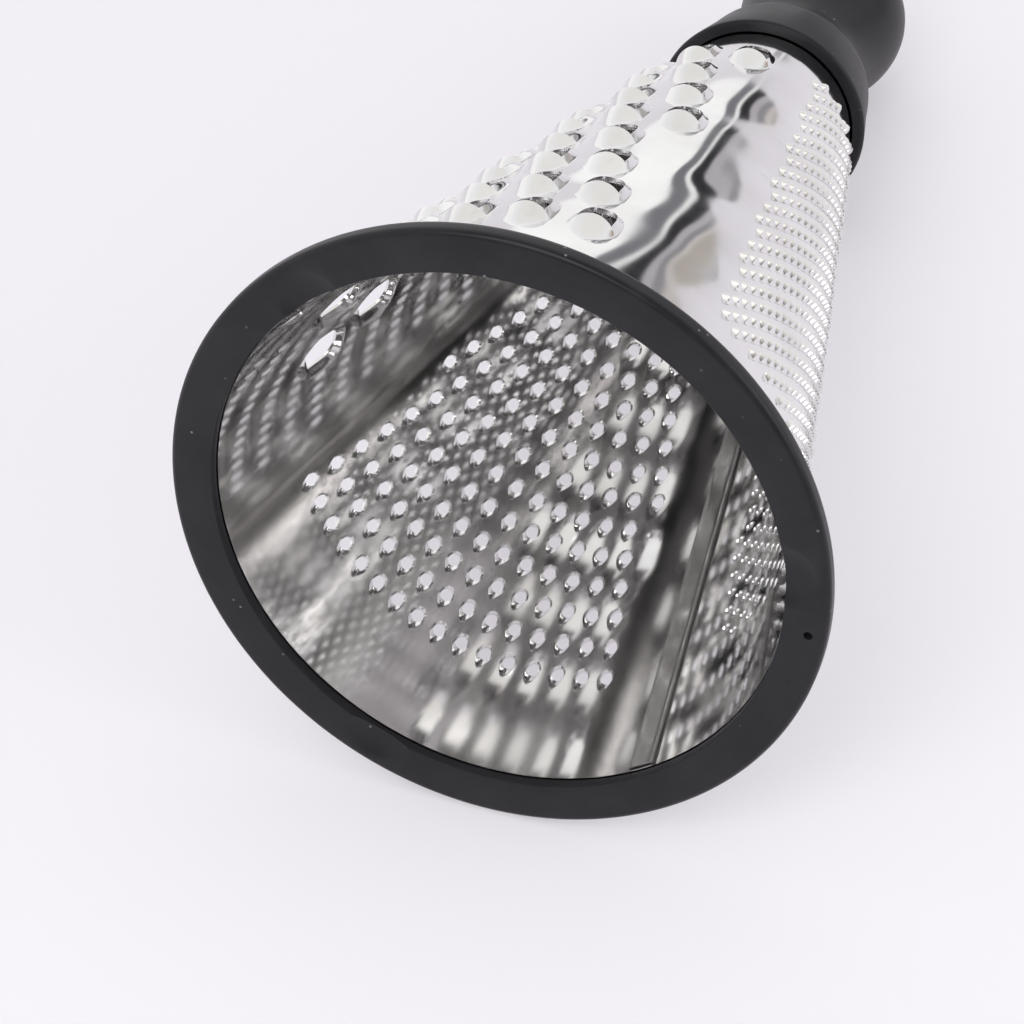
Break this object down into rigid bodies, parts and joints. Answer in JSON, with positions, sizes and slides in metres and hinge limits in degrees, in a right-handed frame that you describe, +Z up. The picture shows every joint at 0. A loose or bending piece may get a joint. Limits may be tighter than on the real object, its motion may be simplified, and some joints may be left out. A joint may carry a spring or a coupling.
{
  "type": "conical grater",
  "caption": "Hand-held conical grater: a rolled steel cone with coarse, medium and fine grating zones, a plastic base ring and a rounded plastic grip.",
  "frame": {"origin": "centre of the base ring's lower face, on the cone's axis, where the grater stands", "axes": "+Z up the cone's axis from the mouth to the grip; the fine zone is centred 20 degrees round from +X towards +Y, the medium zone 140 degrees and the coarse zone 260 degrees"},
  "size_m": [0.12, 0.12, 0.234],
  "materials": {
    "polished_steel": "mirror polished stainless sheet",
    "black_plastic": "satin moulded",
    "pressed_steel": "pressed, satin",
    "fastener_steel": "plain stainless",
    "insert_brass": "turned"
  },
  "bodies": {
    "root": {"grating_cone": "polished_steel", "base_ring": "black_plastic", "grip": "black_plastic", "top_plate": "pressed_steel", "grip_screw": "fastener_steel", "screw_washer": "fastener_steel", "threaded_insert": "insert_brass"}
  },
  "joints": []
}
